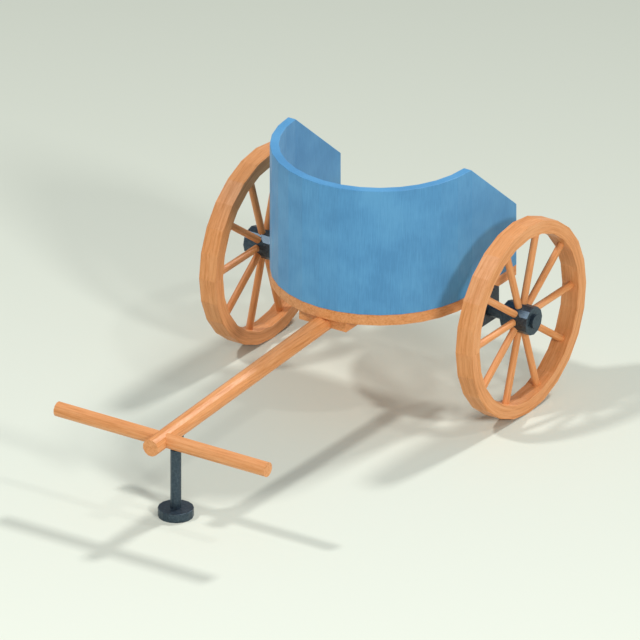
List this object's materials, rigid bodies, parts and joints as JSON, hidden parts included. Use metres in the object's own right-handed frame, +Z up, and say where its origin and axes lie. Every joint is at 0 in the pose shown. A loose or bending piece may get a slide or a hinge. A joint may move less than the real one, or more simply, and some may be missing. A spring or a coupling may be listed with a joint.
{
  "type": "chariot",
  "caption": "Horse-drawn chariot: round-fronted body open at the back, spoked wheels, pole with a cross yoke bar and a folding front stand.",
  "frame": {"origin": "on the ground, under the middle of the overall length and width", "axes": "+X along the axle to the driver's left, -Y forward along the pole, +Z up"},
  "size_m": [1.506, 2.358, 1.153],
  "materials": {
    "ash_wood": "satin",
    "blue_paint": "satin paint on wood",
    "forged_iron": "oiled, slightly polished"
  },
  "bodies": {
    "chassis": {"floor_deck": "ash_wood", "front_panel": "blue_paint", "left_side_panel": "blue_paint", "right_side_panel": "blue_paint", "axle": "forged_iron", "axle_caps": "forged_iron", "left_axle_bracket": "forged_iron", "right_axle_bracket": "forged_iron", "pole": "ash_wood", "pole_cheeks": "ash_wood", "left_yoke_arm": "ash_wood", "right_yoke_arm": "ash_wood", "stand_saddle": "forged_iron", "stand_pin": "forged_iron"},
    "left_wheel": {"left_wheel_rim": "ash_wood", "left_wheel_spokes": "ash_wood", "left_wheel_nave": "forged_iron"},
    "right_wheel": {"right_wheel_rim": "ash_wood", "right_wheel_spokes": "ash_wood", "right_wheel_nave": "forged_iron"},
    "stand": {"stand_post": "forged_iron", "stand_foot": "forged_iron"}
  },
  "joints": [
    {"name": "left_wheel_turn", "type": "hinge", "parent": "chassis", "child": "left_wheel", "pos_m": [0.6715, 0.729, 0.45], "axis": [1, 0, 0], "continuous": true},
    {"name": "right_wheel_turn", "type": "hinge", "parent": "chassis", "child": "right_wheel", "pos_m": [-0.6715, 0.729, 0.45], "axis": [1, 0, 0], "continuous": true},
    {"name": "stand_fold", "type": "hinge", "parent": "chassis", "child": "stand", "pos_m": [0, -0.979, 0.34683], "axis": [1, 0, 0], "range_deg": [0, 80]}
  ]
}
